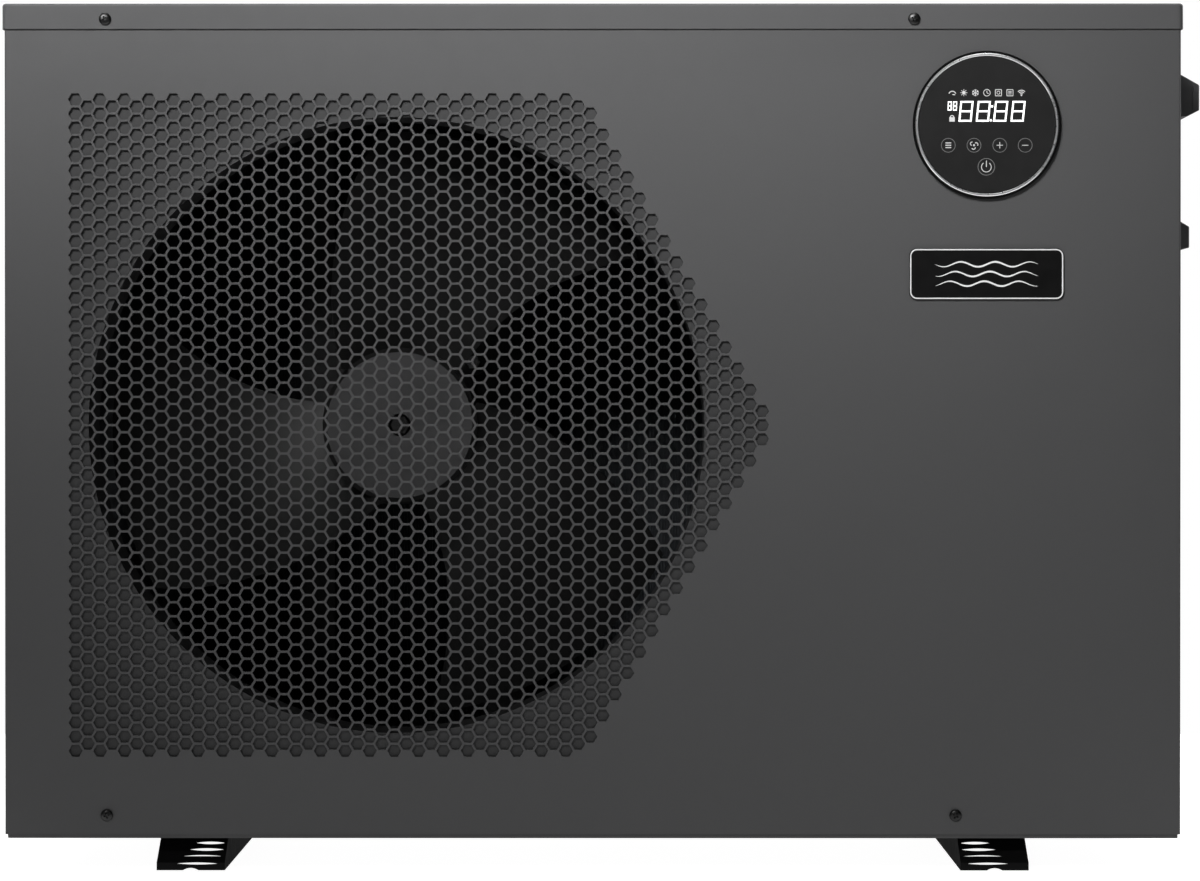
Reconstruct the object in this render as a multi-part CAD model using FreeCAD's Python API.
"""Swimming-pool heat pump: a steel case with a front axial fan, on two moulded foot rails.

Millimetres. The front faces -Y, +X is to the right and +Z is up. The origin is on the floor, midway between the
feet and midway between the front and rear panels.
"""
import FreeCAD, Part
import math
import os

# Case
CASE_W = 913.6          # across the side panels
CASE_D = 372.0          # from the front panel to the rear panel
CASE_TOP = 673.3        # top of the cover
FOOT_H = 24.9
PANEL_Z0 = 28.0         # lower edge of the panels
SHEET = 1.2
PAN_SHEET = 1.5
PAN_H = 30.0
COVER_OVERHANG = 1.7
COVER_FLANGE = 19.8
RETURN = 20.0           # depth of the front panel's folded sides
GAP = 0.3               # clearance between neighbouring sheets
POST_W = 26.0           # rear corner post, across and deep
POST_D = 22.0

# Air-intake slots of the left and rear sheets
SLOT_PITCH = 78.0
SLOT_LENGTH = 64.0
SLOT_HEIGHT = 13.0
SLOT_ROWS = 22
SLOT_MARGIN = 20.0
SLOT_MARGIN_Z = 45.0

# Feet
FOOT_X = 312.4
FOOT_W = 53.0
FOOT_TOE = 6.0          # upright part of the foot's end, above the floor
FOOT_LEAN = 34.3        # how far the end leans back up to the top
FOOT_WALL = 3.0
FOOT_SLOT_H = 1.9
FOOT_SLOTS = ((18.6, 25.4, -1.0), (14.3, 25.4, 3.3), (9.9, 25.4, 8.4), (5.1, 22.5, 12.2))  # z, inner, outer reach
FOOT_RIB_Y = (-75.0, 0.0, 75.0)
FOOT_RIB_T = 3.0
FOOT_RIB_Z = 14.0       # the ribs hang from the top of the foot down to here
FOOT_NOTCH_R = 11.0     # shallow arch in the lower edge of each end
FOOT_NOTCH_Z = -9.2
SOLE_T = 2.0            # plates across the foot, on the floor, round the anchor holes
SOLE_W = 18.0
ANCHOR_Y = 116.0
ANCHOR_R = 5.25
BOLT_Y = 55.0           # bolts between the feet and the pan
BOLT_R = 3.0
BOLT_HOLE_R = 3.3
BOLT_FLATS = 10.0
BOLT_HEAD = 4.0
NUT_H = 5.0
DRAIN_Y = 120.0
DRAIN_Z0 = 6.0
DRAIN_R = 9.0
DRAIN_BORE = 6.5

# Grille of the front panel: hexagons in upright columns
HEX_PITCH = 22.0
HEX_FLATS = 18.0
HEX_COLUMNS = 29
HEX_HALF_ROWS = 11.5
HEX_X0 = -404.0
FAN_X = -152.4
FAN_Z = 346.0

# Fan
ORIFICE_R = 239.5
ORIFICE_DEPTH = 65.0
BELL_R = 15.0
FAN_R = 232.0
HUB_R = 61.0
HUB_FRONT_Y = -139.0
HUB_BACK_Y = -66.0
HUB_EDGE = 3.5          # chamfer round the hub's face
HUB_RECESS_R = 9.0
HUB_RECESS = 9.0        # depth of the recess for the nut
BLADES = 3
BLADE_SWEEP = 0.16      # degrees of forward sweep for each millimetre of radius
SHAFT_R = 6.0
STUD_R = 4.0            # threaded end of the shaft
FAN_NUT_FLATS = 13.0
MOTOR_R = 58.0
MOTOR_FRONT_Y = -48.0
MOTOR_BACK_Y = 40.0

# Evaporator
COIL_T = 44.0
COIL_Z0 = 62.0
COIL_Z1 = 622.0
COIL_OUT_Y = 178.0
COIL_OUT_X = -449.0
COIL_END_X = 148.0
COIL_END_Y = -92.0
COIL_BEND = 100.0
TUBE_PITCH = 25.4
TUBE_R = 4.8
TUBE_ROWS_Y = (145.0, 167.0)
TUBES = 22

# Controller and badge
CONTROL_X = 305.8
CONTROL_Z = 578.9
BEZEL_R = 57.4
TRIM_R = 55.5
GLASS_R = 53.4
HOUSING_R = 49.0
BADGE_W = 120.0
BADGE_H = 40.0
BADGE_Z = 463.3
BADGE_CORNER = 6.0

# Electrical box, hand grip and cable hood
BOX_X0 = 166.0
BOX_X1 = 446.0
BOX_Y0 = -150.0
BOX_Y1 = -34.0
BOX_Z0 = 496.0
BOX_Z1 = 640.0
SINK_Y0 = -106.0
SINK_Y1 = -64.0
SINK_Z0 = 546.0
SINK_Z1 = 614.0
SINK_FINS = 9
SINK_PITCH = 8.0
HANDLE_Y0 = -40.0
HANDLE_Y1 = 80.0
HANDLE_Z0 = 597.0
HANDLE_Z1 = 622.5       # outer end of the sloping top
HANDLE_Z2 = 640.5       # where the top meets the side panel
HANDLE_OUT = 35.9
HANDLE_WALL = 3.5
HANDLE_RIM_W = 10.0
HANDLE_RIM_H = 5.0
HOOD_Y0 = -40.0
HOOD_Y1 = 60.0
HOOD_Z0 = 489.9
HOOD_Z1 = 507.4         # outer end of the sloping top
HOOD_Z2 = 524.4         # where the top meets the side panel
HOOD_ROOM_Z = 498.4     # floor of the room above the glands
HOOD_OUT = 28.1
HOOD_WALL = 3.0
GLAND_X = 470.8
GLAND_Y = (-16.0, 16.0)
GLAND_R = 8.0
GLAND_BORE = 5.0
GLAND_FLATS = 18.0

# Water side
WATER_X = 235.0
INLET_Z = 120.0
OUTLET_Z = 350.0
PIPE_R = 25.0
PIPE_BORE = 21.0
SOCKET_R = 25.15
VESSEL_X = 345.0
VESSEL_Y = 85.0
VESSEL_R = 75.0
VESSEL_Z0 = 72.0
VESSEL_Z1 = 400.0
SWITCH_Y = 150.0
PIN_Z = INLET_Z + 30.0  # pin of the flow switch's paddle
PIN_R = 1.5
PADDLE_T = 1.6

# Refrigerant side
COMPRESSOR_X = 370.0
COMPRESSOR_Y = -70.0
COMPRESSOR_R = 60.0
COMPRESSOR_Z0 = 76.0
COMPRESSOR_Z1 = 345.0
ACCUMULATOR_X = 268.0
ACCUMULATOR_Y = -95.0
ACCUMULATOR_R = 32.0
VALVE_X = 195.0
VALVE_Z = 430.0
GAS_LINE_R = 6.35
LIQUID_LINE_R = 4.75
EXPANSION_X = 225.0
EXPANSION_Y = 30.0
EXPANSION_Z0 = 285.0

SCREW_HEAD_R = 4.75
SCREW_SHANK_R = 2.0
SCREW_HOLE_R = 2.15

FRONT_Y = -CASE_D / 2
BACK_Y = CASE_D / 2
SIDE_X = CASE_W / 2
PAN_TOP = FOOT_H + PAN_H
PAN_FLOOR = FOOT_H + PAN_SHEET
COVER_Z0 = CASE_TOP - COVER_FLANGE
SCREW_TOP_Z = COVER_Z0 + 7.7
SCREW_LOW_Z = 42.7
PARTITION_X = COIL_END_X

V = FreeCAD.Vector
X = V(1, 0, 0)
Y = V(0, 1, 0)
Z = V(0, 0, 1)


# ---- shape helpers ---------------------------------------------------------------------------------------

def block(x0, x1, y0, y1, z0, z1):
    return Part.makeBox(x1 - x0, y1 - y0, z1 - z0, V(x0, y0, z0))


def rod(start, axis, radius, length):
    return Part.makeCylinder(radius, length, start, axis)


def tube(start, axis, radius, bore, length):
    return rod(start, axis, radius, length).cut(rod(start, axis, bore, length))


def joined(shapes):
    body = shapes[0]
    for shape in shapes[1:]:
        body = body.fuse(shape)
    return body.removeSplitter()


def cut_all(body, tools):
    return body.cut(Part.makeCompound(tools))


def outline(points):
    return Part.makePolygon(points + [points[0]])


def prism(points, direction):
    return Part.Face(outline(points)).extrude(direction)


def turned(points, centre, axis):
    """Solid of revolution of a profile given as (radius, height along the axis)."""
    side = X if abs(axis.x) < 0.5 else Y
    place = [centre + side * r + axis * h for r, h in points]
    return Part.Face(outline(place)).revolve(centre, axis, 360)


def filleted(solid, radius, choose):
    return solid.makeFillet(radius, [edge for edge in solid.Edges if choose(edge)])


def along(edge, axis):
    first, last = edge.Vertexes[0].Point, edge.Vertexes[-1].Point
    run = last - first
    return run.Length > 0.5 and abs(run.normalize().dot(axis)) > 0.999


def rounded_plate(x, z, width, height, corner, y0, y1):
    plate = block(x - width / 2, x + width / 2, y0, y1, z - height / 2, z + height / 2)
    return filleted(plate, corner, lambda edge: along(edge, Y))


def line_and_arcs(points, bend):
    """Wire of straight runs joined by tangent arcs."""
    edges = []
    start = points[0]
    for before, corner, after in zip(points, points[1:], points[2:]):
        back = (before - corner).normalize()
        ahead = (after - corner).normalize()
        half = back.getAngle(ahead) / 2
        reach = bend / math.tan(half)
        first = corner + back * reach
        last = corner + ahead * reach
        centre = corner + (back + ahead).normalize() * (bend / math.sin(half))
        middle = centre + (corner - centre).normalize() * bend
        edges.append(Part.LineSegment(start, first).toShape())
        edges.append(Part.Arc(first, middle, last).toShape())
        start = last
    edges.append(Part.LineSegment(start, points[-1]).toShape())
    return Part.Wire(edges)


def pipe(points, radius, bend):
    """Solid round bar along straight runs and bends."""
    path = line_and_arcs(points, bend)
    ring = Part.Wire(Part.makeCircle(radius, points[0], points[1] - points[0]))
    return path.makePipeShell([ring], True, False)


def hexagon(centre, axis, flats, height):
    side = X if abs(axis.x) < 0.5 else Y
    other = axis.cross(side)
    radius = flats / math.sqrt(3)
    corners = []
    for i in range(6):
        angle = math.radians(60 * i)
        corners.append(centre + side * (radius * math.cos(angle)) + other * (radius * math.sin(angle)))
    return prism(corners, axis * height)


def pan_screw(x, y, z, outward, length=12.0):
    """Pan-head case screw whose head sits on the sheet at the given point."""
    seat = V(x, y, z)
    profile = [(0, 0), (SCREW_HEAD_R, 0), (SCREW_HEAD_R, 1.2), (3.6, 2.3), (1.6, 2.6), (0, 2.6)]
    head = turned(profile, seat, outward)
    return head.fuse(rod(seat - outward * length, outward, SCREW_SHANK_R, length))


# ---- where the case screws go ----------------------------------------------------------------------------

def cover_screws():
    y_front = FRONT_Y - COVER_OVERHANG
    x_side = SIDE_X + COVER_OVERHANG
    seats = [(x, y_front, SCREW_TOP_Z, -Y) for x in (-378.3, 249.5)]
    seats += [(x, -y_front, SCREW_TOP_Z, Y) for x in (-378.3, 249.5)]
    seats += [(side * x_side, y, SCREW_TOP_Z, X * side) for side in (-1, 1) for y in (-120.0, 120.0)]
    return seats


def panel_screws():
    seats = [(x, FRONT_Y, SCREW_LOW_Z, -Y) for x in (-377.5, 282.0)]
    seats += [(x, BACK_Y, SCREW_LOW_Z, Y) for x in (-377.5, 100.0, 200.0, 420.0)]
    seats += [(side * SIDE_X, y, SCREW_LOW_Z, X * side) for side in (-1, 1) for y in (-120.0, 120.0)]
    return seats


def screw_holes(seats):
    holes = []
    for x, y, z, outward in seats:
        holes.append(rod(V(x, y, z) - outward * 8, outward, SCREW_HOLE_R, 9))
    return holes


# ---- case ------------------------------------------------------------------------------------------------

def top_cover():
    x = SIDE_X + COVER_OVERHANG
    y = -FRONT_Y + COVER_OVERHANG
    outer = block(-x, x, -y, y, COVER_Z0, CASE_TOP)
    outer = filleted(outer, 4.0, lambda edge: along(edge, Z))
    outer = filleted(outer, 2.2, lambda edge: edge.BoundBox.ZMin > CASE_TOP - 0.1)
    inner = block(-x + SHEET, x - SHEET, -y + SHEET, y - SHEET, COVER_Z0 - 1, CASE_TOP - SHEET)
    inner = filleted(inner, 2.8, lambda edge: along(edge, Z))
    return cut_all(outer.cut(inner), screw_holes(cover_screws()))


def hex_wire(x, z):
    radius = HEX_FLATS / math.sqrt(3)
    corners = []
    for i in range(6):
        angle = -math.radians(60 * i)
        corners.append(V(x + radius * math.cos(angle), FRONT_Y, z + radius * math.sin(angle)))
    return outline(corners)


def grille_wires():
    """Hexagon field with a blunt point on its right, one wire per hole."""
    wires = []
    step = HEX_PITCH * math.cos(math.radians(30))
    for column in range(HEX_COLUMNS):
        reach = min(HEX_HALF_ROWS, 0.5 + 1.5 * (HEX_COLUMNS - 1 - column))
        shift = 0.0 if column % 2 else 0.5
        for row in range(-13, 13):
            height = row + shift
            if abs(height) <= reach:
                wires.append(hex_wire(HEX_X0 + column * step, FAN_Z + height * HEX_PITCH))
    return wires


def round_wire(x, z, radius):
    return Part.Wire(Part.makeCircle(radius, V(x, FRONT_Y, z), Y))


def panel_fold(side, bend, top):
    """Upright fold that carries the front panel round the corner of the case."""
    def place(x, y):
        return V(side * x, FRONT_Y + y, PANEL_Z0)
    face_x = SIDE_X - bend
    outer_mid = place(face_x + bend * math.sin(math.pi / 4), bend - bend * math.cos(math.pi / 4))
    inside = bend - SHEET
    inner_mid = place(face_x + inside * math.sin(math.pi / 4), bend - inside * math.cos(math.pi / 4))
    edges = [Part.Arc(place(face_x, 0), outer_mid, place(SIDE_X, bend)).toShape()]
    edges.append(Part.LineSegment(place(SIDE_X, bend), place(SIDE_X, RETURN)).toShape())
    edges.append(Part.LineSegment(place(SIDE_X, RETURN), place(SIDE_X - SHEET, RETURN)).toShape())
    edges.append(Part.LineSegment(place(SIDE_X - SHEET, RETURN), place(SIDE_X - SHEET, bend)).toShape())
    edges.append(Part.Arc(place(SIDE_X - SHEET, bend), inner_mid, place(face_x, SHEET)).toShape())
    edges.append(Part.LineSegment(place(face_x, SHEET), place(face_x, 0)).toShape())
    return Part.Face(Part.Wire(edges)).extrude(Z * (top - PANEL_Z0))


def front_panel():
    bend = 2.0
    top = CASE_TOP - SHEET - GAP
    face_x = SIDE_X - bend
    corners = [V(-face_x, FRONT_Y, PANEL_Z0), V(face_x, FRONT_Y, PANEL_Z0), V(face_x, FRONT_Y, top)]
    corners.append(V(-face_x, FRONT_Y, top))
    wires = [outline(corners)] + grille_wires()
    wires.append(round_wire(CONTROL_X, CONTROL_Z, HOUSING_R + 0.5))
    for x, _, z, outward in cover_screws() + panel_screws():
        if outward.y < -0.5:
            wires.append(round_wire(x, z, SCREW_HOLE_R))
    plate = Part.Face(wires).extrude(Y * SHEET)
    folds = [panel_fold(side, bend, top) for side in (-1, 1)]
    folds.append(block(-face_x, face_x, FRONT_Y + SHEET, FRONT_Y + 16, top - SHEET, top))
    return plate.multiFuse(folds)


def slot_wire(across, centre, half_length, half_height):
    """Round-ended level slot, run the other way round from the sheet's outline so that it is a hole."""
    flat = half_length - half_height
    points = [(-flat, half_height), (flat, half_height), (half_length, 0), (flat, -half_height)]
    points += [(-flat, -half_height), (-half_length, 0)]
    place = [centre + across * a + Z * b for a, b in points]
    edges = [Part.LineSegment(place[0], place[1]).toShape()]
    edges.append(Part.Arc(place[1], place[2], place[3]).toShape())
    edges.append(Part.LineSegment(place[3], place[4]).toShape())
    edges.append(Part.Arc(place[4], place[5], place[0]).toShape())
    return Part.Wire(edges)


def slotted_sheet(corner, across, width, inward):
    """Upright air-intake sheet with rows of slots. The corner is its lower one, and the sheet grows inwards."""
    height = panel_height()
    far = corner + across * width
    wires = [outline([corner, far, far + Z * height, corner + Z * height])]
    columns = int((width - 2 * SLOT_MARGIN) // SLOT_PITCH)
    first = (width - (columns - 1) * SLOT_PITCH) / 2
    row_step = (height - 2 * SLOT_MARGIN_Z) / (SLOT_ROWS - 1)
    for i in range(columns):
        for j in range(SLOT_ROWS):
            centre = corner + across * (first + i * SLOT_PITCH) + Z * (SLOT_MARGIN_Z + j * row_step)
            wires.append(slot_wire(across, centre, SLOT_LENGTH / 2, SLOT_HEIGHT / 2))
    return Part.Face(wires).extrude(inward * SHEET)


def panel_height():
    return CASE_TOP - SHEET - GAP - PANEL_Z0


def left_side_guard():
    depth = CASE_D - RETURN - GAP - POST_D
    corner = V(-SIDE_X, FRONT_Y + RETURN + GAP, PANEL_Z0)
    sheet = slotted_sheet(corner, Y, depth, X)
    return cut_all(sheet, screw_holes(cover_screws() + panel_screws()))


def left_rear_post():
    inner_y = BACK_Y - POST_D + GAP
    post = block(-SIDE_X, -SIDE_X + POST_W, inner_y, BACK_Y, PANEL_Z0, PANEL_Z0 + panel_height())
    post = filleted(post, 2.0, lambda edge: along(edge, Z) and edge.BoundBox.XMin < -SIDE_X + 1
                    and edge.BoundBox.YMin > BACK_Y - 1)
    hollow = block(-SIDE_X + SHEET, -SIDE_X + POST_W + 1, inner_y - 1, BACK_Y - SHEET, PANEL_Z0 - 1, CASE_TOP)
    return post.cut(hollow)


def rear_guard():
    left = -SIDE_X + POST_W + GAP
    width = COIL_END_X + 4 - left
    sheet = slotted_sheet(V(left, BACK_Y, PANEL_Z0), X, width, -Y)
    return cut_all(sheet, screw_holes(cover_screws() + panel_screws()))


def rear_panel():
    left = COIL_END_X + 4 + GAP
    sheet = block(left, SIDE_X, BACK_Y - SHEET, BACK_Y, PANEL_Z0, PANEL_Z0 + panel_height())
    fold = block(SIDE_X - SHEET, SIDE_X, BACK_Y - RETURN, BACK_Y, PANEL_Z0, PANEL_Z0 + panel_height())
    panel = joined([sheet, fold])
    panel = filleted(panel, 1.1, lambda edge: along(edge, Z) and edge.BoundBox.XMin > SIDE_X - 0.1
                     and edge.BoundBox.YMin > BACK_Y - 0.1)
    ports = [rod(V(WATER_X, BACK_Y - 5, z), Y, PIPE_R + 2, 10) for z in (INLET_Z, OUTLET_Z)]
    vents = []
    for z in range(500, 620, 16):
        vents.append(rounded_plate(330.0, z, 150.0, 5.0, 2.4, BACK_Y - 5, BACK_Y + 5))
    return cut_all(panel, ports + vents + screw_holes(cover_screws() + panel_screws()))


def right_side_panel():
    panel = block(SIDE_X - SHEET, SIDE_X, FRONT_Y + RETURN + GAP, BACK_Y - RETURN - GAP, PANEL_Z0,
                  PANEL_Z0 + panel_height())
    window = block(SIDE_X - 5, SIDE_X + 5, HOOD_Y0 + 11, HOOD_Y1 - 9, HOOD_ROOM_Z + 2, HOOD_Z1 - 2)
    return cut_all(panel, [window] + screw_holes(cover_screws() + panel_screws()))


def base_pan():
    half_x = SIDE_X - SHEET - 0.4
    half_y = BACK_Y - SHEET - 0.4
    room_x = half_x - PAN_SHEET
    room_y = half_y - PAN_SHEET
    outer = filleted(block(-half_x, half_x, -half_y, half_y, FOOT_H, PAN_TOP), 3.0, lambda edge: along(edge, Z))
    inner = block(-room_x, room_x, -room_y, room_y, PAN_FLOOR, PAN_TOP + 1)
    inner = filleted(inner, 1.5, lambda edge: along(edge, Z))
    pan = outer.cut(inner)
    holes = [rod(V(FAN_X, DRAIN_Y, FOOT_H - 1), Z, 9.2, 5)]
    for side in (-1, 1):
        for end in (-1, 1):
            holes.append(rod(V(side * FOOT_X, end * ANCHOR_Y, FOOT_H - 1), Z, ANCHOR_R + 1.25, 5))
            holes.append(rod(V(side * FOOT_X, end * BOLT_Y, FOOT_H - 1), Z, BOLT_HOLE_R, 5))
    for x, y in compressor_feet():
        holes.append(rod(V(x, y, FOOT_H - 1), Z, BOLT_HOLE_R, 5))
    return cut_all(pan, holes + screw_holes(panel_screws()))


def foot_section(x0, x1, inset):
    """Side profile of a foot between two X planes, shrunk inwards by inset."""
    y = -FRONT_Y - inset
    lean = FOOT_LEAN * (FOOT_H - inset - FOOT_TOE) / (FOOT_H - FOOT_TOE)
    top = FOOT_H - inset
    base = 0.0 if inset == 0 else -1.0
    points = [V(x0, -y, base), V(x0, -y, FOOT_TOE), V(x0, -y + lean, top), V(x0, y - lean, top)]
    points += [V(x0, y, FOOT_TOE), V(x0, y, base)]
    return prism(points, X * (x1 - x0))


def foot_slots(side):
    """Lens-shaped slots through the leaning ends, each further out towards the floor."""
    tools = []
    reach = FOOT_LEAN + 6
    for z, inner, outer in FOOT_SLOTS:
        x_in = side * (FOOT_X - inner)
        x_out = side * (FOOT_X + outer)
        middle = (x_in + x_out) / 2
        high = V(middle, 0, z + FOOT_SLOT_H / 2)
        low = V(middle, 0, z - FOOT_SLOT_H / 2)
        arcs = [Part.Arc(V(x_in, 0, z), high, V(x_out, 0, z)), Part.Arc(V(x_out, 0, z), low, V(x_in, 0, z))]
        lens = Part.Face(Part.Wire([arc.toShape() for arc in arcs]))
        for start in (FRONT_Y - 1, BACK_Y + 1 - reach):
            tool = lens.extrude(Y * reach)
            tool.translate(Y * start)
            tools.append(tool)
    return tools


def foot(side):
    """Hollow foot, open below, with plates on the floor round its anchor holes."""
    x0 = side * FOOT_X - FOOT_W / 2
    x1 = x0 + FOOT_W
    shell = foot_section(x0, x1, 0.0).cut(foot_section(x0 + FOOT_WALL, x1 - FOOT_WALL, FOOT_WALL))
    inside = []
    holes = []
    for end in (-1, 1):
        y = end * ANCHOR_Y
        inside.append(block(x0 + 1, x1 - 1, y - SOLE_W / 2, y + SOLE_W / 2, 0, SOLE_T))
        holes.append(rod(V(side * FOOT_X, y, -1), Z, ANCHOR_R, FOOT_H + 2))
        holes.append(rod(V(side * FOOT_X, end * BOLT_Y, -1), Z, BOLT_HOLE_R, FOOT_H + 2))
    for y in FOOT_RIB_Y:
        inside.append(block(x0 + 1, x1 - 1, y - FOOT_RIB_T / 2, y + FOOT_RIB_T / 2, FOOT_RIB_Z, FOOT_H - 1))
    body = joined([shell] + inside)
    notches = [rod(V(side * FOOT_X, y, FOOT_NOTCH_Z), Y, FOOT_NOTCH_R, 9) for y in (FRONT_Y - 1, BACK_Y - 8)]
    return cut_all(body, holes + notches + foot_slots(side))


def hex_bolts():
    """Bolts and nuts that hold the feet to the pan and the motor to its bracket."""
    bolts = []
    for side in (-1, 1):
        for end in (-1, 1):
            seat = V(side * FOOT_X, end * BOLT_Y, FOOT_H - FOOT_WALL)
            shank = rod(seat, Z, BOLT_R, 14.0)
            bolts.append(hexagon(seat - Z * BOLT_HEAD, Z, BOLT_FLATS, BOLT_HEAD).fuse(shank))
            bolts.append(hexagon(V(seat.x, seat.y, PAN_FLOOR), Z, BOLT_FLATS, NUT_H).cut(shank))
    for x, z in motor_lugs():
        head = hexagon(V(x, MOTOR_BACK_Y - 10, z), Y, BOLT_FLATS, BOLT_HEAD)
        shank = rod(V(x, MOTOR_BACK_Y - 6, z), Y, BOLT_R, 18.0)
        bolts.append(joined([head, shank]))
        bolts.append(hexagon(V(x, MOTOR_BACK_Y + 2, z), Y, BOLT_FLATS, NUT_H).cut(shank))
    return Part.makeCompound(bolts)


def drain_nipple():
    """Hose nipple under the pan, with a collar below the sheet and a flange above it."""
    collar = FOOT_H - DRAIN_Z0 - 2
    seat = PAN_FLOOR - DRAIN_Z0
    profile = [(DRAIN_BORE, 0), (DRAIN_R - 1, 0), (DRAIN_R, 1), (DRAIN_R, collar), (13, collar), (13, collar + 2)]
    profile += [(9.0, collar + 2), (9.0, seat), (14.0, seat), (14.0, seat + 2), (DRAIN_BORE, seat + 2)]
    return turned(profile, V(FAN_X, DRAIN_Y, DRAIN_Z0), Z)


def case_screws():
    return Part.makeCompound([pan_screw(*seat) for seat in cover_screws() + panel_screws()])


def partition_plate():
    plate = block(PARTITION_X, PARTITION_X + SHEET, FRONT_Y + 4, TUBE_ROWS_Y[0] - 14, PAN_FLOOR + GAP, 645.0)
    foot_fold = block(PARTITION_X, PARTITION_X + 18, FRONT_Y + 4, TUBE_ROWS_Y[0] - 14, PAN_FLOOR + GAP,
                      PAN_FLOOR + GAP + SHEET)
    window = block(PARTITION_X - 5, PARTITION_X + 5, SINK_Y0 - 6, SINK_Y1 + 6, SINK_Z0 - 6, SINK_Z1 + 6)
    return joined([plate, foot_fold]).cut(window)


# ---- fan -------------------------------------------------------------------------------------------------

def fan_point(y):
    return V(FAN_X, y, FAN_Z)


def fan_shroud():
    y0 = FRONT_Y + SHEET + 1.5
    plate = block(-440, PARTITION_X - GAP, y0, y0 + SHEET, PAN_TOP + GAP, 645.0)
    plate = plate.cut(rod(fan_point(y0 - 1), Y, ORIFICE_R, 4))
    steps = 6
    profile = [(ORIFICE_R, 0.0)]
    for i in range(steps + 1):
        angle = math.radians(90 * i / steps)
        profile.append((ORIFICE_R + BELL_R * (1 - math.cos(angle)), ORIFICE_DEPTH + BELL_R * math.sin(angle)))
    for i in range(steps, -1, -1):
        angle = math.radians(90 * i / steps)
        radius = BELL_R - SHEET
        reach = ORIFICE_R + SHEET + radius * (1 - math.cos(angle))
        profile.append((reach, ORIFICE_DEPTH + radius * math.sin(angle)))
    profile.append((ORIFICE_R + SHEET, 0.0))
    return joined([plate, turned(profile, fan_point(y0), Y)])


def blade_section(radius, half_chord, half_rise, camber, thickness):
    """Closed thin wire, hollow towards the front, in the plane at the given radius above the hub's axis."""
    centre_y = (HUB_FRONT_Y + HUB_BACK_Y) / 2 - 6
    nose = V(FAN_X + half_chord, centre_y + half_rise, FAN_Z + radius)
    tail = V(FAN_X - half_chord, centre_y - half_rise, FAN_Z + radius)
    chord = (tail - nose).normalize()
    normal = chord.cross(Z)
    middle = (nose + tail) * 0.5
    upper = middle + normal * (camber + thickness / 2)
    lower = middle + normal * (camber - thickness / 2)
    edge = normal * (thickness * 0.2)
    edges = [Part.Arc(nose + edge, upper, tail + edge).toShape()]
    edges.append(Part.LineSegment(tail + edge, tail - edge).toShape())
    edges.append(Part.Arc(tail - edge, lower, nose - edge).toShape())
    edges.append(Part.LineSegment(nose - edge, nose + edge).toShape())
    return Part.Wire(edges)


def fan_blade():
    sections = []
    for radius, half_chord, half_rise, camber in ((44, 46, 34, 9), (110, 74, 32, 12), (180, 104, 28, 14),
                                                  (246, 128, 22, 14)):
        section = blade_section(radius, half_chord, half_rise, camber, 4.0)
        section.rotate(fan_point(0), Y, BLADE_SWEEP * (radius - 44))
        sections.append(section)
    blade = Part.makeLoft(sections, True, False)
    return blade.common(rod(fan_point(-170), Y, FAN_R, 130))


def fan_impeller():
    length = HUB_BACK_Y - HUB_FRONT_Y
    cup = [(0, HUB_RECESS), (HUB_RECESS_R, HUB_RECESS), (HUB_RECESS_R, 0), (HUB_R - HUB_EDGE, 0)]
    cup += [(HUB_R, HUB_EDGE), (HUB_R, length), (HUB_R - 3.5, length), (HUB_R - 3.5, 14), (20, 14)]
    cup += [(20, length), (0, length)]
    hub = turned(cup, fan_point(HUB_FRONT_Y), Y)
    blade = fan_blade()
    core = rod(fan_point(-170), Y, HUB_R - 2, 130)
    blades = []
    for i in range(BLADES):
        copy = blade.copy()
        copy.rotate(fan_point(0), Y, 360.0 / BLADES * i)
        blades.append(copy.cut(core))
    body = hub.multiFuse(blades)
    return body.cut(rod(fan_point(HUB_FRONT_Y - 1), Y, SHAFT_R, length + 2))


def fan_shaft():
    """Motor shaft with a thinner threaded end inside the hub's recess."""
    shoulder = HUB_FRONT_Y + HUB_RECESS
    stud = rod(fan_point(HUB_FRONT_Y + 1.5), Y, STUD_R, HUB_RECESS)
    return stud.fuse(rod(fan_point(shoulder), Y, SHAFT_R, MOTOR_BACK_Y - 8 - shoulder))


def fan_nut():
    nut = hexagon(fan_point(HUB_FRONT_Y + 3), Y, FAN_NUT_FLATS, 5.9)
    return nut.cut(rod(fan_point(HUB_FRONT_Y), Y, STUD_R, 20))


def motor_lugs():
    return [(FAN_X + sx * 52, FAN_Z + sz * 52) for sx in (-1, 1) for sz in (-1, 1)]


def fan_motor():
    can = turned([(0, 0), (20, 0), (24, 4), (MOTOR_R - 4, 4), (MOTOR_R, 8), (MOTOR_R, 82), (MOTOR_R - 4, 88),
                  (0, 88)], fan_point(MOTOR_FRONT_Y), Y)
    lugs = [rod(V(x, MOTOR_BACK_Y - 6, z), Y, 11.0, 6.0) for x, z in motor_lugs()]
    arms = []
    for x, z in motor_lugs():
        arms.append(block(min(x, FAN_X + (x - FAN_X) * 0.6), max(x, FAN_X + (x - FAN_X) * 0.6), MOTOR_BACK_Y - 6,
                          MOTOR_BACK_Y, min(z, FAN_Z + (z - FAN_Z) * 0.6), max(z, FAN_Z + (z - FAN_Z) * 0.6)))
    body = joined([can] + lugs + arms)
    holes = [rod(V(x, MOTOR_BACK_Y - 10, z), Y, BOLT_HOLE_R, 20.0) for x, z in motor_lugs()]
    shaft_seat = rod(fan_point(MOTOR_FRONT_Y - 1), Y, SHAFT_R + 0.05, 82.0)
    return cut_all(body, holes + [shaft_seat])


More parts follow.
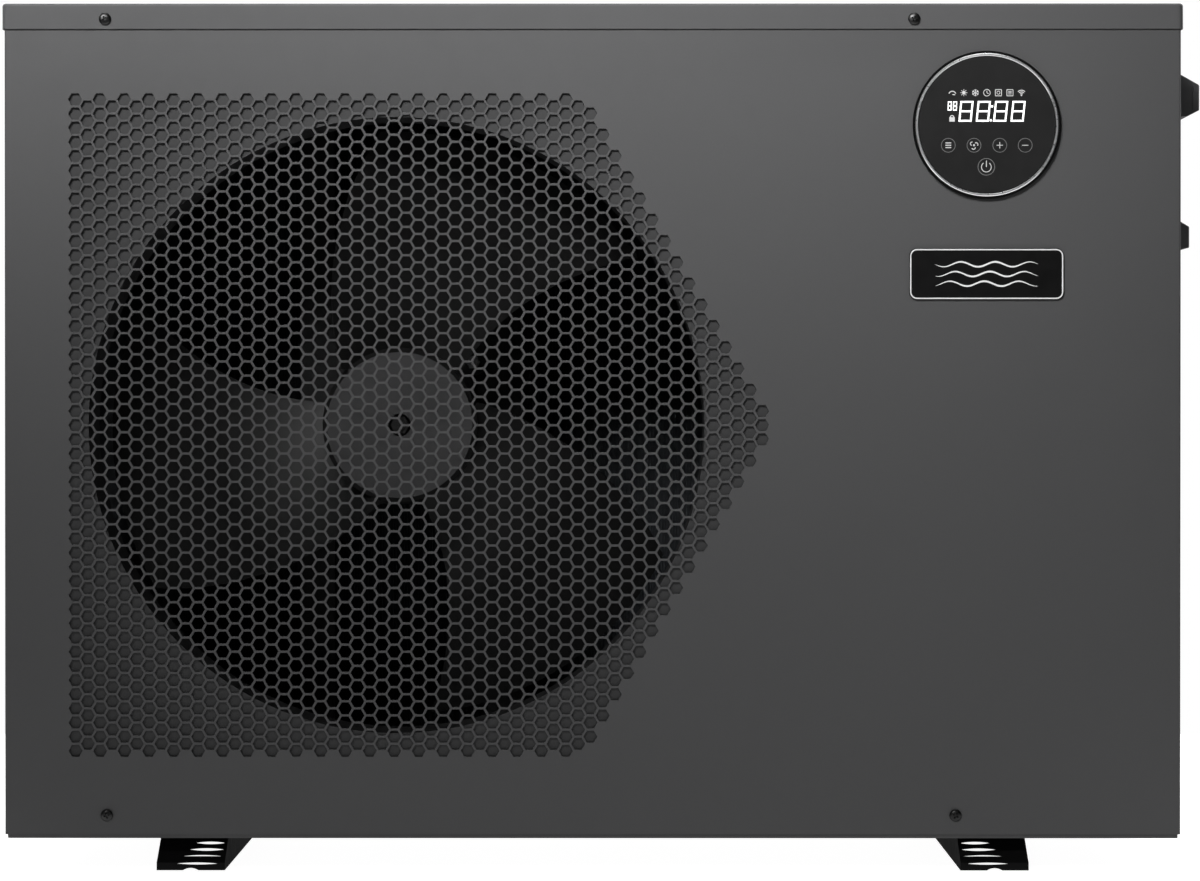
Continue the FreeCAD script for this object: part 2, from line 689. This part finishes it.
def motor_bracket():
    y = MOTOR_BACK_Y
    struts = []
    for side in (-1, 1):
        x = FAN_X + side * 78
        strut = block(x - 14, x + 14, y, y + 16, PAN_FLOOR + GAP, 648.0)
        groove = block(x - 14 + PAN_SHEET, x + 14 - PAN_SHEET, y + PAN_SHEET, y + 17, PAN_FLOOR, 650.0)
        struts.append(strut.cut(groove))
    plate = block(FAN_X - 66, FAN_X + 66, y, y + 2.0, FAN_Z - 66, FAN_Z + 66)
    body = joined([plate] + struts)
    holes = [rod(V(x, y - 1, z), Y, BOLT_HOLE_R, 5.0) for x, z in motor_lugs()]
    return cut_all(body, holes)


# ---- evaporator ------------------------------------------------------------------------------------------

def coil_plan(inset, depth):
    """Closed L-shaped plan of the coil between two offsets from its outer face."""
    def rail(offset):
        x = COIL_OUT_X + offset
        y = COIL_OUT_Y - offset
        bend = COIL_BEND - offset
        cx = x + bend
        cy = y - bend
        diagonal = bend / math.sqrt(2)
        return V(x, COIL_END_Y, 0), V(x, cy, 0), V(cx - diagonal, cy + diagonal, 0), V(cx, y, 0), V(COIL_END_X, y, 0)
    a, b, c, d, e = rail(inset)
    f, g, h, i, j = rail(inset + depth)
    edges = [Part.LineSegment(a, b).toShape(), Part.Arc(b, c, d).toShape(), Part.LineSegment(d, e).toShape()]
    edges.append(Part.LineSegment(e, j).toShape())
    edges += [Part.LineSegment(j, i).toShape(), Part.Arc(i, h, g).toShape(), Part.LineSegment(g, f).toShape()]
    edges.append(Part.LineSegment(f, a).toShape())
    return Part.Face(Part.Wire(edges))


def evaporator_fins():
    block_solid = coil_plan(0.0, COIL_T).extrude(Z * (COIL_Z1 - COIL_Z0))
    block_solid.translate(Z * COIL_Z0)
    return block_solid


def tube_height(index):
    return COIL_Z0 + 13.0 + index * TUBE_PITCH


def left_rows_x():
    return [COIL_OUT_X + COIL_OUT_Y - y for y in TUBE_ROWS_Y]


def coil_end_plates():
    right = block(COIL_END_X, COIL_END_X + SHEET, COIL_OUT_Y - COIL_T, COIL_OUT_Y, COIL_Z0, COIL_Z1)
    front = block(COIL_OUT_X, COIL_OUT_X + COIL_T, COIL_END_Y - SHEET, COIL_END_Y, COIL_Z0, COIL_Z1)
    legs = []
    legs.append(block(COIL_END_X - 20, COIL_END_X + SHEET, COIL_OUT_Y - COIL_T, COIL_OUT_Y, PAN_FLOOR, COIL_Z0))
    legs.append(block(COIL_OUT_X, COIL_OUT_X + COIL_T, COIL_END_Y - SHEET, COIL_END_Y + 20, PAN_FLOOR, COIL_Z0))
    return Part.makeCompound([joined([right, legs[0]]), joined([front, legs[1]])])


def return_bend(centre, outward, radius):
    """Half ring that joins two tubes one above the other, bulging outwards."""
    low = centre - Z * radius
    high = centre + Z * radius
    path = Part.Wire(Part.Arc(low, centre + outward * radius, high).toShape())
    ring = Part.Wire(Part.makeCircle(TUBE_R, low, outward))
    return path.makePipeShell([ring], True, False)


def coil_return_bends():
    bends = []
    radius = TUBE_PITCH / 2
    for x in left_rows_x():
        for i in range(0, TUBES, 2):
            bends.append(return_bend(V(x, COIL_END_Y - SHEET, tube_height(i) + radius), -Y, radius))
    for y in TUBE_ROWS_Y:
        for i in range(TUBES - 1):
            if i % 6 in (1, 3):
                bends.append(return_bend(V(COIL_END_X + SHEET, y, tube_height(i) + radius), X, radius))
    return Part.makeCompound(bends)


def manifold(x, y, radius, indices, z0, z1):
    post = rod(V(x, y, z0), Z, radius, z1 - z0)
    stubs = [rod(V(COIL_END_X + SHEET, y, tube_height(i)), X, TUBE_R, x - COIL_END_X - SHEET) for i in indices]
    return joined([post] + stubs)


def gas_header():
    return manifold(195.0, TUBE_ROWS_Y[1], 8.0, (0, 6, 12, 18), 68.0, 545.0)


def liquid_manifold():
    return manifold(190.0, TUBE_ROWS_Y[0] - 2, 6.0, (5, 11, 17, 21), 190.0, 618.0)


# ---- refrigerant circuit ---------------------------------------------------------------------------------

def compressor_feet():
    feet = []
    for i in range(3):
        angle = math.radians(120 * i - 90)
        feet.append((COMPRESSOR_X + 72 * math.cos(angle), COMPRESSOR_Y + 72 * math.sin(angle)))
    return feet


def compressor():
    base = V(COMPRESSOR_X, COMPRESSOR_Y, COMPRESSOR_Z0)
    height = COMPRESSOR_Z1 - COMPRESSOR_Z0
    shell = turned([(0, 0), (COMPRESSOR_R - 22, 0), (COMPRESSOR_R - 4, 12), (COMPRESSOR_R, 26),
                    (COMPRESSOR_R, height - 30), (COMPRESSOR_R - 6, height - 12), (COMPRESSOR_R - 24, height),
                    (0, height)], base, Z)
    arms = []
    holes = []
    for x, y in compressor_feet():
        arms.append(rod(V(x, y, COMPRESSOR_Z0 + 2), Z, 15.0, 3.5))
        direction = V(x - COMPRESSOR_X, y - COMPRESSOR_Y, 0).normalize()
        side = direction.cross(Z) * 15
        near = V(COMPRESSOR_X, COMPRESSOR_Y, COMPRESSOR_Z0 + 2) + direction * 20
        far = V(x, y, COMPRESSOR_Z0 + 2)
        arms.append(prism([near + side, far + side, far - side, near - side], Z * 3.5))
        holes.append(rod(V(x, y, COMPRESSOR_Z0), Z, 8.0, 10.0))
    stub = rod(V(COMPRESSOR_X, COMPRESSOR_Y, COMPRESSOR_Z1 - 2), Z, GAS_LINE_R + 1.5, 14.0)
    terminals = turned([(0, 0), (17, 0), (17, 16), (12, 20), (0, 20)],
                       V(COMPRESSOR_X + 24, COMPRESSOR_Y - 16, COMPRESSOR_Z1 - 9), Z)
    return cut_all(joined([shell] + arms + [stub, terminals]), holes)


def compressor_grommets():
    pieces = []
    for x, y in compressor_feet():
        profile = [(3.2, 0), (13, 0), (13, COMPRESSOR_Z0 + 2 - PAN_FLOOR), (7.9, COMPRESSOR_Z0 + 2 - PAN_FLOOR)]
        top = COMPRESSOR_Z0 + 5.5 - PAN_FLOOR
        profile += [(7.9, top), (11, top), (11, top + 4), (3.2, top + 4)]
        pieces.append(turned(profile, V(x, y, PAN_FLOOR), Z))
    return Part.makeCompound(pieces)


def compressor_bolts():
    pieces = []
    top = COMPRESSOR_Z0 + 9.5
    for x, y in compressor_feet():
        stud = rod(V(x, y, FOOT_H), Z, BOLT_R, top + 10 - FOOT_H)
        washer = tube(V(x, y, top), Z, 9.0, BOLT_R, 1.5)
        nut = hexagon(V(x, y, top + 1.5), Z, BOLT_FLATS, NUT_H).cut(rod(V(x, y, top), Z, BOLT_R, 10))
        pieces += [stud, washer, nut]
    return Part.makeCompound(pieces)


def accumulator():
    base = V(ACCUMULATOR_X, ACCUMULATOR_Y, 128.0)
    r = ACCUMULATOR_R
    shell = turned([(0, 0), (8, 0), (r - 6, 12), (r, 24), (r, 176), (r - 6, 190), (8, 204), (0, 204)], base, Z)
    strap = block(ACCUMULATOR_X + r - 6, COMPRESSOR_X - COMPRESSOR_R + 8, ACCUMULATOR_Y + 2, ACCUMULATOR_Y + 12,
                  225.0, 245.0)
    elbow = [V(ACCUMULATOR_X, ACCUMULATOR_Y, 132), V(ACCUMULATOR_X, ACCUMULATOR_Y, 104)]
    elbow.append(V(COMPRESSOR_X - COMPRESSOR_R + 14, ACCUMULATOR_Y + 12, 104))
    return joined([shell, strap, pipe(elbow, 8.0, 12.0)]).cut(compressor())


def vessel_axis(z):
    return V(VESSEL_X, VESSEL_Y, z)


def exchanger_shell():
    r = VESSEL_R
    height = VESSEL_Z1 - VESSEL_Z0
    outside = turned([(0, 0), (r - 10, 0), (r, 10), (r, 34), (r - 3, 36), (r - 3, height - 36), (r, height - 34),
                      (r, height - 10), (r - 12, height), (0, height)], vessel_axis(VESSEL_Z0), Z)
    inside = turned([(0, 8), (r - 14, 8), (r - 9, 14), (r - 9, height - 14), (r - 14, height - 8), (0, height - 8)],
                    vessel_axis(VESSEL_Z0), Z)
    body = outside.cut(inside)
    tools = []
    for z in (INLET_Z, OUTLET_Z):
        body = body.fuse(rod(V(VESSEL_X - r - 4, VESSEL_Y, z), X, PIPE_R + 3, 14).cut(inside))
        tools.append(rod(V(VESSEL_X - r - 6, VESSEL_Y, z), X, PIPE_BORE, 40))
    for x, y, radius in exchanger_ports():
        body = body.fuse(rod(V(x, y, VESSEL_Z1 - 2), Z, radius + 3, 8))
        tools.append(rod(V(x, y, VESSEL_Z1 - 20), Z, radius, 40))
    legs = tube(vessel_axis(PAN_FLOOR), Z, r - 8, r - 14, VESSEL_Z0 - PAN_FLOOR)
    return cut_all(body.fuse(legs), tools)


def exchanger_ports():
    """Refrigerant ports on the vessel's top cap: gas, then liquid."""
    return ((320.0, 60.0, GAS_LINE_R), (370.0, 110.0, LIQUID_LINE_R))


def titanium_coil():
    turns = []
    for i in range(9):
        turns.append(Part.makeTorus(48.0, 6.0, vessel_axis(VESSEL_Z0 + 50 + i * 27.0), Z))
    (gas_x, gas_y, gas_r), (liquid_x, liquid_y, liquid_r) = exchanger_ports()
    top = VESSEL_Z0 + 50 + 8 * 27.0
    gas = rod(V(gas_x, gas_y, top), Z, gas_r - 0.3, VESSEL_Z1 + 4 - top)
    liquid = rod(V(liquid_x, liquid_y, VESSEL_Z0 + 50), Z, liquid_r - 0.3, VESSEL_Z1 + 4 - VESSEL_Z0 - 50)
    return turns[0].multiFuse(turns[1:] + [gas, liquid])


def valve_stub_y(index):
    return (-90.0, -55.0, -20.0)[index]


def four_way_valve():
    body = rod(V(VALVE_X, -112.0, VALVE_Z), Y, 15.0, 114.0)
    caps = [rod(V(VALVE_X, y, VALVE_Z), Y, 12.0, 5.0) for y in (-117.0, 2.0)]
    stubs = [rod(V(VALVE_X, valve_stub_y(i), VALVE_Z - 26), Z, GAS_LINE_R + 1.3, 26.0) for i in range(3)]
    stubs.append(rod(V(VALVE_X, valve_stub_y(1), VALVE_Z), Z, GAS_LINE_R + 1.3, 26.0))
    pilot = rod(V(VALVE_X + 12, -70.0, VALVE_Z + 8), Y, 6.0, 40.0)
    solenoid = rod(V(VALVE_X + 24, -112.0, VALVE_Z + 12), Y, 13.0, 36.0)
    link = block(VALVE_X + 8, VALVE_X + 24, -84.0, -66.0, VALVE_Z + 4, VALVE_Z + 14)
    return joined([body] + caps + stubs + [pilot, link, solenoid])


def valve_end(index, up):
    z = VALVE_Z + 26 if up else VALVE_Z - 26
    return V(VALVE_X, valve_stub_y(index), z)


def discharge_line():
    top = valve_end(1, True)
    start = V(COMPRESSOR_X, COMPRESSOR_Y, COMPRESSOR_Z1 + 12)
    points = [start, V(start.x, start.y, 484), V(top.x, top.y, 484), top]
    return pipe(points, GAS_LINE_R, 17.0)


def suction_line():
    start = valve_end(1, False)
    end = V(ACCUMULATOR_X, ACCUMULATOR_Y, 330)
    line = pipe([start, V(start.x, start.y, 368), V(end.x, end.y, 368), end], GAS_LINE_R, 16.0)
    return line.cut(accumulator())


def gas_lines():
    """Lines from the four-way valve to the water vessel and to the coil's header."""
    start = valve_end(2, False)
    x, y = exchanger_ports()[0][:2]
    vessel_run = [start, V(start.x, start.y, 372), V(250, start.y, 372), V(250, start.y, 446), V(x, y, 446)]
    vessel_run.append(V(x, y, VESSEL_Z1 + 6))
    start = valve_end(0, False)
    coil_run = [start, V(start.x, start.y, 108), V(start.x, TUBE_ROWS_Y[1] - 4, 108)]
    coil_line = pipe(coil_run, GAS_LINE_R, 40.0).cut(gas_header())
    return Part.makeCompound([pipe(vessel_run, GAS_LINE_R, 15.0), coil_line])


def expansion_valve():
    """Upright valve body with its stepper motor and cap on top."""
    seat = V(EXPANSION_X, EXPANSION_Y, EXPANSION_Z0)
    body = rod(seat, Z, 11.0, 42.0)
    motor = rod(seat + Z * 42, Z, 19.0, 34.0)
    cap = rod(seat + Z * 76, Z, 9.0, 6.0)
    return joined([body, motor, cap])


def liquid_lines():
    """Lines from the water vessel to the expansion valve, and from there to the coil's manifold."""
    x, y = exchanger_ports()[1][:2]
    low = EXPANSION_Z0 - 50
    before = [V(x, y, VESSEL_Z1 + 6), V(x, y, 476), V(EXPANSION_X, -5, 476), V(EXPANSION_X, -5, EXPANSION_Z0 + 15)]
    before.append(V(EXPANSION_X, EXPANSION_Y - 6, EXPANSION_Z0 + 15))
    after = [V(EXPANSION_X, EXPANSION_Y, EXPANSION_Z0), V(EXPANSION_X, EXPANSION_Y, low), V(190, 75, low)]
    after.append(V(190, TUBE_ROWS_Y[0] - 6, low))
    first = pipe(before, LIQUID_LINE_R, 12.0).cut(expansion_valve())
    second = pipe(after, LIQUID_LINE_R, 14.0).cut(liquid_manifold())
    return Part.makeCompound([first, second])


# ---- water side ------------------------------------------------------------------------------------------

def hollow_pipe(points, bend):
    return pipe(points, PIPE_R, bend).cut(pipe(points, PIPE_BORE, bend))


def water_inlet_pipe():
    end = V(VESSEL_X - VESSEL_R - 4, VESSEL_Y, INLET_Z)
    elbow = hollow_pipe([V(WATER_X, BACK_Y + 2, INLET_Z), V(WATER_X, VESSEL_Y, INLET_Z), end], 28.0)
    return elbow.cut(rod(V(WATER_X, SWITCH_Y, INLET_Z), Z, 8.3, 60))


def water_outlet_pipe():
    end = V(VESSEL_X - VESSEL_R - 4, VESSEL_Y, OUTLET_Z)
    return hollow_pipe([V(WATER_X, BACK_Y + 2, OUTLET_Z), V(WATER_X, VESSEL_Y, OUTLET_Z), end], 28.0)


def at_both_ports(profile, y):
    return Part.makeCompound([turned(profile, V(WATER_X, y, z), Y) for z in (INLET_Z, OUTLET_Z)])


def union_bodies():
    r = 33.0
    profile = [(PIPE_BORE, 0), (38, 0), (38, 4), (r, 4), (r, 26), (PIPE_BORE, 26)]
    return at_both_ports(profile, BACK_Y + 2)


def union_seals():
    return at_both_ports([(22.0, 0), (30.5, 0), (30.5, 2), (22.0, 2)], BACK_Y + 28)


def union_tails():
    profile = [(PIPE_BORE, 0), (31.0, 0), (31.0, 5), (29.5, 5), (29.5, 50), (SOCKET_R, 50), (SOCKET_R, 8)]
    profile.append((PIPE_BORE, 8))
    return at_both_ports(profile, BACK_Y + 30)


def union_nut(z):
    axis = V(WATER_X, BACK_Y + 9, z)
    profile = [(33.3, 0), (40.0, 0), (41.0, 1), (41.0, 33), (39.0, 37), (29.8, 37), (29.8, 26.3), (33.3, 26.3)]
    nut = turned(profile, axis, Y)
    ribs = []
    for i in range(12):
        rib = block(WATER_X - 3, WATER_X + 3, axis.y + 2, axis.y + 32, z + 39, z + 43.5)
        rib.rotate(axis, Y, 30 * i)
        ribs.append(rib)
    return joined([nut] + ribs)


def flow_switch():
    """Switch on top of the inlet pipe. Its stem carries the paddle's pin."""
    top = INLET_Z + PIPE_R
    stem = rod(V(WATER_X, SWITCH_Y, INLET_Z + 19), Z, 8.0, 25.0)
    collar = hexagon(V(WATER_X, SWITCH_Y, top + 2), Z, 24.0, 7.0)
    case = filleted(block(WATER_X - 16, WATER_X + 16, SWITCH_Y - 22, SWITCH_Y + 22, top + 9, top + 48), 3.0,
                    lambda edge: along(edge, Z))
    slot = block(WATER_X - 2.5, WATER_X + 2.5, SWITCH_Y - 6.8, SWITCH_Y + 3.0, INLET_Z + 10, INLET_Z + 34)
    seat = rod(V(WATER_X - 6, SWITCH_Y, PIN_Z), X, PIN_R + 0.05, 12.0)
    return cut_all(joined([stem, collar, case]), [slot, seat])


def flow_switch_paddle():
    y0 = SWITCH_Y - PADDLE_T / 2
    y1 = SWITCH_Y + PADDLE_T / 2
    pin = rod(V(WATER_X - 5.6, SWITCH_Y, PIN_Z), X, PIN_R, 11.2)
    arm = block(WATER_X - 2.0, WATER_X + 2.0, y0, y1, INLET_Z + 10, PIN_Z + PIN_R + 0.3)
    blade = block(WATER_X - 8.0, WATER_X + 8.0, y0, y1, INLET_Z - 15, INLET_Z + 13)
    return joined([pin, arm, filleted(blade, 3.0, lambda edge: along(edge, Y))])


# ---- electrics -------------------------------------------------------------------------------------------

def electrical_box():
    """Box open to the front, with a window for the heat sink in its left wall."""
    outer = block(BOX_X0, BOX_X1, BOX_Y0, BOX_Y1, BOX_Z0, BOX_Z1)
    inner = block(BOX_X0 + 2, BOX_X1 - 2, BOX_Y0 - 1, BOX_Y1 - 2, BOX_Z0 + 2, BOX_Z1 - 2)
    window = block(BOX_X0 - 2, BOX_X0 + 4, SINK_Y0 - 2, SINK_Y1 + 2, SINK_Z0 - 2, SINK_Z1 + 2)
    return outer.cut(inner).cut(window)


def electrical_box_lid():
    lid = block(BOX_X0 - 1, BOX_X1 + 1, BOX_Y0 - 1.5, BOX_Y0 - GAP, BOX_Z0 - 1, BOX_Z1 + 1)
    beads = []
    for z in (525.0, 611.0):
        beads.append(rounded_plate(306.0, z, 240.0, 8.0, 3.8, BOX_Y0 - 2.7, BOX_Y0 - 1.4))
    return joined([lid] + beads)


def inverter_board():
    """Circuit board with its three capacitors, choke, relay and filter."""
    y = BOX_Y1 - 10
    board = block(BOX_X0 + 14, BOX_X1 - 84, y - 1.6, y, BOX_Z0 + 12, BOX_Z1 - 12)
    parts = [rod(V(x, y - 1.6, BOX_Z1 - 50), -Y, 15.0, 45.0) for x in (250.0, 285.0, 320.0)]
    for x, width, height, depth in ((195, 40, 40, 22), (250, 30, 32, 30), (300, 45, 25, 14)):
        parts.append(block(x, x + width, y - depth, y - 1.6, BOX_Z0 + 24, BOX_Z0 + 24 + height))
    return joined([board] + parts)


def terminal_block():
    """Strip of seven terminals, two cells each."""
    x = BOX_X1 - 70
    base = block(x, x + 52, BOX_Y1 - 26, BOX_Y1 - 2, BOX_Z0 + 24, BOX_Z0 + 110)
    cells = []
    for i in range(7):
        z = BOX_Z0 + 28 + i * 11.4
        cells.append(block(x + 4, x + 24, BOX_Y1 - 28, BOX_Y1 - 14, z, z + 8))
        cells.append(block(x + 28, x + 48, BOX_Y1 - 28, BOX_Y1 - 14, z, z + 8))
    return cut_all(base, cells)


def heat_sink():
    """Finned block that cools the power board in the fan's air stream."""
    base = block(PARTITION_X - 6, BOX_X0 + 10, SINK_Y0, SINK_Y1, SINK_Z0, SINK_Z1)
    fins = []
    for i in range(SINK_FINS):
        z = SINK_Z0 + 2 + i * SINK_PITCH
        fins.append(block(PARTITION_X - 44, PARTITION_X - 5, SINK_Y0, SINK_Y1, z, z + 2))
    return joined([base] + fins)


# ---- controller, badge and side fittings -----------------------------------------------------------------

def control_point(y):
    return V(CONTROL_X, y, CONTROL_Z)


def controller_bezel():
    profile = [(HOUSING_R - 2, 0), (BEZEL_R, 0), (BEZEL_R, 3.4), (BEZEL_R - 0.6, 4.0), (TRIM_R, 4.0),
               (TRIM_R, 1.4), (HOUSING_R - 2, 1.4)]
    return turned(profile, control_point(FRONT_Y), -Y)


def controller_trim_ring():
    profile = [(GLASS_R, 1.4), (TRIM_R, 1.4), (TRIM_R, 4.2), (TRIM_R - 0.6, 4.7), (GLASS_R + 0.5, 4.7),
               (GLASS_R, 4.2)]
    return turned(profile, control_point(FRONT_Y), -Y)


def controller_glass():
    profile = [(0, 1.4), (GLASS_R, 1.4), (GLASS_R, 3.2), (GLASS_R - 0.5, 3.7), (0, 3.7)]
    return turned(profile, control_point(FRONT_Y), -Y)


def controller_housing():
    r = HOUSING_R
    depth = 27.0
    profile = [(r - 2, 0.0), (r, 0.0), (r, -depth), (0, -depth), (0, -depth + 2), (r - 2, -depth + 2)]
    clips = []
    for angle in (45, 135, 225, 315):
        clip = block(CONTROL_X + r - 1, CONTROL_X + r + 5, FRONT_Y + SHEET + GAP, FRONT_Y + 12, CONTROL_Z - 6,
                     CONTROL_Z + 6)
        clip.rotate(control_point(0), Y, angle)
        clips.append(clip)
    return joined([turned(profile, control_point(FRONT_Y), -Y)] + clips)


def controller_board():
    y = FRONT_Y + 5
    board = rod(control_point(y), Y, HOUSING_R - 3.5, 1.6)
    display = block(CONTROL_X - 32, CONTROL_X + 32, y - 3.5, y, CONTROL_Z - 2, CONTROL_Z + 30)
    connector = block(CONTROL_X - 12, CONTROL_X + 12, y + 1.6, y + 10, CONTROL_Z - 30, CONTROL_Z - 20)
    return joined([board, display, connector])


def badge_plate():
    plate = rounded_plate(CONTROL_X, BADGE_Z, BADGE_W, BADGE_H, BADGE_CORNER, FRONT_Y - 2.0, FRONT_Y)
    return filleted(plate, 0.5, lambda edge: edge.BoundBox.YMax < FRONT_Y - 1.9)


def side_handle():
    """Hand grip: a hood that is open below, with a turned-in rim and a groove at each end."""
    root = SIDE_X + GAP
    out = root + HANDLE_OUT
    inner_out = out - HANDLE_WALL
    rim = out - HANDLE_RIM_W
    y = HANDLE_Y0
    outer = [V(root, y, HANDLE_Z0), V(root, y, HANDLE_Z2), V(root + 4, y, HANDLE_Z2), V(out, y, HANDLE_Z1)]
    outer += [V(out, y, HANDLE_Z0 + HANDLE_RIM_H), V(rim, y, HANDLE_Z0)]
    shell = prism(outer, Y * (HANDLE_Y1 - HANDLE_Y0))
    shell = filleted(shell, 2.0, lambda edge: along(edge, Y) and edge.BoundBox.XMin > out - 1
                     and edge.BoundBox.ZMin > HANDLE_Z1 - 1)
    y = HANDLE_Y0 + HANDLE_WALL
    inner = [V(root + 3, y, HANDLE_Z0 - 1), V(root + 3, y, HANDLE_Z2 - HANDLE_WALL)]
    inner += [V(root + 4, y, HANDLE_Z2 - HANDLE_WALL), V(inner_out, y, HANDLE_Z1 - HANDLE_WALL / 2)]
    inner += [V(inner_out, y, HANDLE_Z0 + HANDLE_RIM_H + 2), V(rim - HANDLE_WALL, y, HANDLE_Z0 + 2)]
    inner += [V(rim - HANDLE_WALL, y, HANDLE_Z0 - 1)]
    hollow = prism(inner, Y * (HANDLE_Y1 - HANDLE_Y0 - 2 * HANDLE_WALL))
    grooves = []
    for y in (HANDLE_Y0 - 1, HANDLE_Y1 - 1):
        grooves.append(block(out - 6.4, out - 5.0, y, y + 2, HANDLE_Z0 + HANDLE_RIM_H, HANDLE_Z1 - 1.5))
    return cut_all(shell, [hollow] + grooves)


def cable_hood():
    """Cover with a sloping top over the cable entry. The glands sit in its floor."""
    x0 = SIDE_X + GAP
    x1 = x0 + HOOD_OUT
    inner_x = x1 - HOOD_WALL
    y = HOOD_Y0
    outer = prism([V(x0, y, HOOD_Z0), V(x0, y, HOOD_Z2), V(x1, y, HOOD_Z1), V(x1, y, HOOD_Z0)], Y * (HOOD_Y1 - y))
    outer = filleted(outer, 1.5, lambda edge: edge.BoundBox.XMin > x1 - 1 or edge.BoundBox.ZMin > HOOD_Z1 - 1)
    y = HOOD_Y0 + HOOD_WALL
    room = [V(x0 - 1, y, HOOD_ROOM_Z), V(x0 - 1, y, HOOD_Z2 - 4), V(inner_x, y, HOOD_Z1 - 2)]
    room.append(V(inner_x, y, HOOD_ROOM_Z))
    depth = HOOD_Y1 - HOOD_Y0 - 2 * HOOD_WALL
    skirt = block(x0 + HOOD_WALL, inner_x, y, y + depth, HOOD_Z0 - 1, HOOD_ROOM_Z - HOOD_WALL)
    holes = [rod(V(GLAND_X, y_gland, HOOD_Z0), Z, GLAND_R + 0.2, 11) for y_gland in GLAND_Y]
    return cut_all(outer, [prism(room, Y * depth), skirt] + holes)


def cable_glands():
    pieces = []
    for y in GLAND_Y:
        seat = V(GLAND_X, y, HOOD_Z0 + 0.8)
        body = rod(seat, Z, GLAND_R, 13.5)
        collar = hexagon(seat + Z * 0.4, Z, GLAND_FLATS, HOOD_ROOM_Z - HOOD_WALL - seat.z - 0.4)
        lock = hexagon(V(GLAND_X, y, HOOD_ROOM_Z + 0.1), Z, GLAND_FLATS, 3.0)
        pieces.append(joined([body, collar, lock]).cut(rod(seat - Z, Z, GLAND_BORE, 20)))
    return Part.makeCompound(pieces)


# ---- output ----------------------------------------------------------------------------------------------

NODES = {
    "top_cover": top_cover,
    "front_panel": front_panel,
    "left_side_guard": left_side_guard,
    "left_rear_post": left_rear_post,
    "right_side_panel": right_side_panel,
    "rear_guard": rear_guard,
    "rear_panel": rear_panel,
    "base_pan": base_pan,
    "foot_left": lambda: foot(-1),
    "foot_right": lambda: foot(1),
    "hex_bolts": hex_bolts,
    "drain_nipple": drain_nipple,
    "case_screws": case_screws,
    "partition_plate": partition_plate,
    "fan_shroud": fan_shroud,
    "fan_impeller": fan_impeller,
    "fan_shaft": fan_shaft,
    "fan_nut": fan_nut,
    "fan_motor": fan_motor,
    "motor_bracket": motor_bracket,
    "evaporator_fins": evaporator_fins,
    "coil_end_plates": coil_end_plates,
    "coil_return_bends": coil_return_bends,
    "gas_header": gas_header,
    "liquid_manifold": liquid_manifold,
    "compressor": compressor,
    "compressor_grommets": compressor_grommets,
    "compressor_bolts": compressor_bolts,
    "accumulator": accumulator,
    "exchanger_shell": exchanger_shell,
    "titanium_coil": titanium_coil,
    "four_way_valve": four_way_valve,
    "expansion_valve": expansion_valve,
    "discharge_line": discharge_line,
    "suction_line": suction_line,
    "gas_lines": gas_lines,
    "liquid_lines": liquid_lines,
    "water_inlet_pipe": water_inlet_pipe,
    "water_outlet_pipe": water_outlet_pipe,
    "union_bodies": union_bodies,
    "union_seals": union_seals,
    "union_tails": union_tails,
    "inlet_union_nut": lambda: union_nut(INLET_Z),
    "outlet_union_nut": lambda: union_nut(OUTLET_Z),
    "flow_switch": flow_switch,
    "flow_switch_paddle": flow_switch_paddle,
    "electrical_box": electrical_box,
    "electrical_box_lid": electrical_box_lid,
    "inverter_board": inverter_board,
    "terminal_block": terminal_block,
    "heat_sink": heat_sink,
    "controller_bezel": controller_bezel,
    "controller_trim_ring": controller_trim_ring,
    "controller_glass": controller_glass,
    "controller_housing": controller_housing,
    "controller_board": controller_board,
    "badge_plate": badge_plate,
    "side_handle": side_handle,
    "cable_hood": cable_hood,
    "cable_glands": cable_glands,
}


def main():
    os.makedirs("parts", exist_ok=True)
    for name, build in NODES.items():
        build().exportStep(f"parts/{name}.step")


main()
